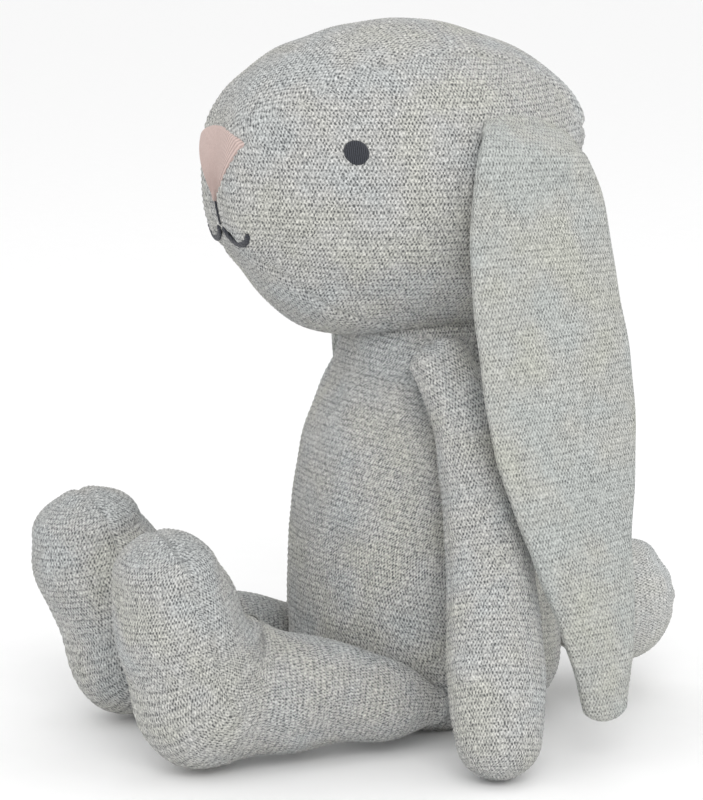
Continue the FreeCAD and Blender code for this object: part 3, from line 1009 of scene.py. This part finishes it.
def make_ears():
    """Long flat ears that grow out of the head and hang beside it."""
    form = limb_form(EAR, (0, 1, 0), EAR_ENDS)

    def meet_head():
        """Lays the top of the ear down on the head."""
        points = form.points.reshape(-1, 3)
        share = step((points[:, 2] - 227) / 19)[:, None]
        sink = 1.3 - 3.2 * step((points[:, 2] - 235) / 18)[:, None]
        laid = on_head(points) + head_normal(on_head(points)) * sink
        outside = ((points - laid) * head_normal(laid)).sum(1, keepdims=True) > 0
        moved = np.where(outside, points * (1 - share) + laid * share, points)
        form.points = moved.reshape(form.points.shape)
        form.measure((None, None))

    def shape(points, place):
        edge = np.exp(-(np.sin(place[:, 1]) / 0.25) ** 2)
        free = 1 - 0.85 * step((points[:, 2] - 228) / 12)
        return 0.8 * ripple(points, 34.0, 41) * (1 - 0.5 * edge) * free

    def settle(piece, side):
        start, end = EAR_BEND
        if side == "right":
            start, end = turned(start, RIGHT_BACK), turned(end, RIGHT_BACK)
        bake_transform(piece)

    meet_head()
    both_sides(two_panels(form, EAR_STITCH, shape, 1.0),
               ((1, "ear_%s_outer"), (2, "ear_%s_inner")), ear_knit_painted_shade, settle,
               RIGHT_BACK)
    shell = core(limb_form(EAR[WADDING_FROM:], (0, 1, 0), EAR_ENDS, CORE_CELL))
    stuff_sides("ear_%s_wadding_sheet", "ear_%s_wadding", (shell, shell), settle,
                RIGHT_BACK)


def make_legs():
    """Legs with upright feet; the cover runs through from leg to foot and bends at the ankle."""
    form = leg_form()
    ahead = np.array(FOOT[-1][:3]) - np.array(FOOT[0][:3])
    sole_out = unit(np.cross(np.array([1.0, 0, 0]), ahead))
    sole_out = sole_out * -np.sign(sole_out[1])
    sole_at = np.array(FOOT[0][:3]) + sole_out * SOLE_DEPTH

    def sole(points):
        return (points - sole_at) @ sole_out

    def ankle_of(form):
        """Length along the form where the leg's panels end and the foot's begin."""
        middle = form.points[:, 0] * 0.5 + form.points[:, len(form.turn) // 2] * 0.5
        return form.along[np.linalg.norm(middle - np.array(ANKLE_SEAM), axis=1).argmin()]

    ankle = ankle_of(form)

    def seam(points, place):
        half = np.interp(place[:, 0], form.along, half_width)
        side = np.abs(np.sin(place[:, 1])) * half
        side = np.where((sole(points) > 0) | (place[:, 0] > ankle), NO_SEAM, side)
        return np.minimum(side, np.where(place[:, 0] > ankle - 12, np.abs(sole(points)), NO_SEAM))

    def shape(points, place):
        side_share = step((ankle + 6 - place[:, 0]) / 6)
        distance = seam(points, place)
        lift = 0.5 * ripple(points, 24.0, 51) - (1 - FLAT_SEAM) * side_share * seam_relief(distance)
        for line, depth, width in LEG_CREASES:
            lift = lift + crease(points, line, depth, width)
        return lift

    def region(points, place):
        leg = np.where(place[:, 1] < math.pi, 1, 2)
        return np.where(place[:, 0] < ankle, leg, np.where(sole(points) > 0, 4, 3))

    def settle(piece, side):
        start, end = ANKLE_BEND
        if side == "right":
            start, end = turned(start, 0), turned(end, 0)
        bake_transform(piece)

    def fuller(points):
        share = WIDE_FOOT * step((points[:, 2] - 46) / 22) * (sole(points) + SOLE_DEPTH)
        return points * (1, 1, FOOT_HEIGHT) + share[:, None] * sole_out

    half_width = np.maximum(np.linalg.norm(form.points[:, 0] - form.centre, axis=1), 1.0)
    upper = map_round(form, BODY_STITCH, math.pi / 2)
    under = map_round(form, BODY_STITCH, 3 * math.pi / 2)
    panels = whole(form, region, [sole], seam, shape, {1: upper, 2: under, 3: upper, 4: under})
    both_sides(panels, ((1, "leg_%s_upper"), (2, "leg_%s_under"), (3, "foot_%s_upper"),
                        (4, "foot_%s_sole")), body_knit, settle, differ=fuller)
    inside = leg_form(CORE_CELL)
    cut_at = ankle_of(inside)
    for part, keep in (("leg", lambda place: place[:, 0] < cut_at),
                       ("foot", lambda place: place[:, 0] >= cut_at)):
        shell = core(inside, keep)
        stuff_sides(part + "_%s_stuffing", part + "_%s_filling", (shell, shell),
                    settle)


def make_tail():
    """Round tail of two halves, gathered at its tip."""
    form = ball_form(TAIL, TAIL_R, (0, 1, 0), (0, 0, 1), -90)

    def shape(points, place):
        gathers = np.exp(-((points[:, 1] - TAIL[1] - TAIL_R) / 9) ** 2)
        turn = np.arctan2(points[:, 0], points[:, 2] - TAIL[2])
        return 0.6 * ripple(points, 20.0, 61) + 0.35 * gathers * np.cos(9 * turn)

    panels = two_panels(form, BODY_STITCH, shape, 1.0)
    # columns start at the top and run towards the left
    for number, name in ((1, "tail_cover_left"), (2, "tail_cover_right")):
        piece = make_piece(name + "_knit", *panels[number])
        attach(dress(piece, tail_knit, [name]), "tail")
    shell = core(ball_form(TAIL, TAIL_R, (0, 1, 0), (0, 0, 1), -90, CORE_CELL))
    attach(stuff("tail_stuffing", "tail_filling", shell), "tail")


def finish_inside():
    """Gathered limb ends and the bag of pellets keep their CAD shape, with cloth materials."""
    for name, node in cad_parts.items():
        if node.hide_render:
            continue
        node.data.materials.clear()
        bag = name == "pellet_bag"
        node.data.materials.append(cotton if bag else body_knit)


# ---- studio -------------------------------------------------------------------------------
def area_light(name, place, size, power, target):
    """Round soft light at a place, in metres, that faces a target."""
    data = bpy.data.lights.new(name, "AREA")
    data.shape = "DISK"
    data.size = size
    data.energy = power
    light = bpy.data.objects.new(name, data)
    light.location = place
    light.rotation_euler = (Vector(target) - Vector(place)).to_track_quat("-Z", "Y").to_euler()
    bpy.context.scene.collection.objects.link(light)


def make_studio():
    """Pale floor, even white surroundings, two soft lights and the camera."""
    scene = bpy.context.scene
    bpy.ops.mesh.primitive_plane_add(size=30, location=(0, 0, 0))
    floor = bpy.context.object
    floor.name = "floor"
    paper = Nodes("paper")
    grain = paper.noise(60.0, 3.0).outputs["Fac"]
    paper.shade(paper.mix(grain, (0.93, 0.93, 0.93, 1), (0.95, 0.95, 0.95, 1)), 0.9)
    paper.shader.inputs["Specular IOR Level"].default_value = 0.1
    floor.data.materials.append(paper.material)
    world = bpy.data.worlds.new("studio")
    world.use_nodes = True
    world.node_tree.nodes["Background"].inputs[0].default_value = (1, 1, 1, 1)
    world.node_tree.nodes["Background"].inputs[1].default_value = 1.0
    scene.world = world
    area_light("key", (1.6, -0.5, 1.2), 1.2, 12, (0, 0, 0.13))
    area_light("top", (0.2, 0.4, 2.2), 1.8, 3, (0, 0, 0.13))
    scene.view_settings.view_transform = "Standard"

    sin_a, cos_a = math.sin(AZIMUTH), math.cos(AZIMUTH)
    sin_e, cos_e = math.sin(ELEVATION), math.cos(ELEVATION)
    back = Vector((sin_a * cos_e, -cos_a * cos_e, sin_e))
    right = Vector((cos_a, sin_a, 0))
    up = back.cross(right)
    aim = Vector((0, 0, AIM_Z)) + right * AIM_SIDE + up * AIM_UP
    data = bpy.data.cameras.new("camera")
    data.sensor_width = 36
    data.lens = data.sensor_width * DISTANCE / VIEW_HEIGHT
    data.shift_y = -LOWER
    camera = bpy.data.objects.new("camera", data)
    camera.matrix_world = Matrix.Translation((aim + back * DISTANCE) * MM) @ Matrix(
        (right, up, back)).transposed().to_4x4()
    scene.collection.objects.link(camera)
    scene.camera = camera


make_body()
make_neck()
make_head()
make_nose()
make_eyes()
make_mouth()
make_arms()
make_ears()
make_legs()
make_tail()
finish_inside()
make_studio()
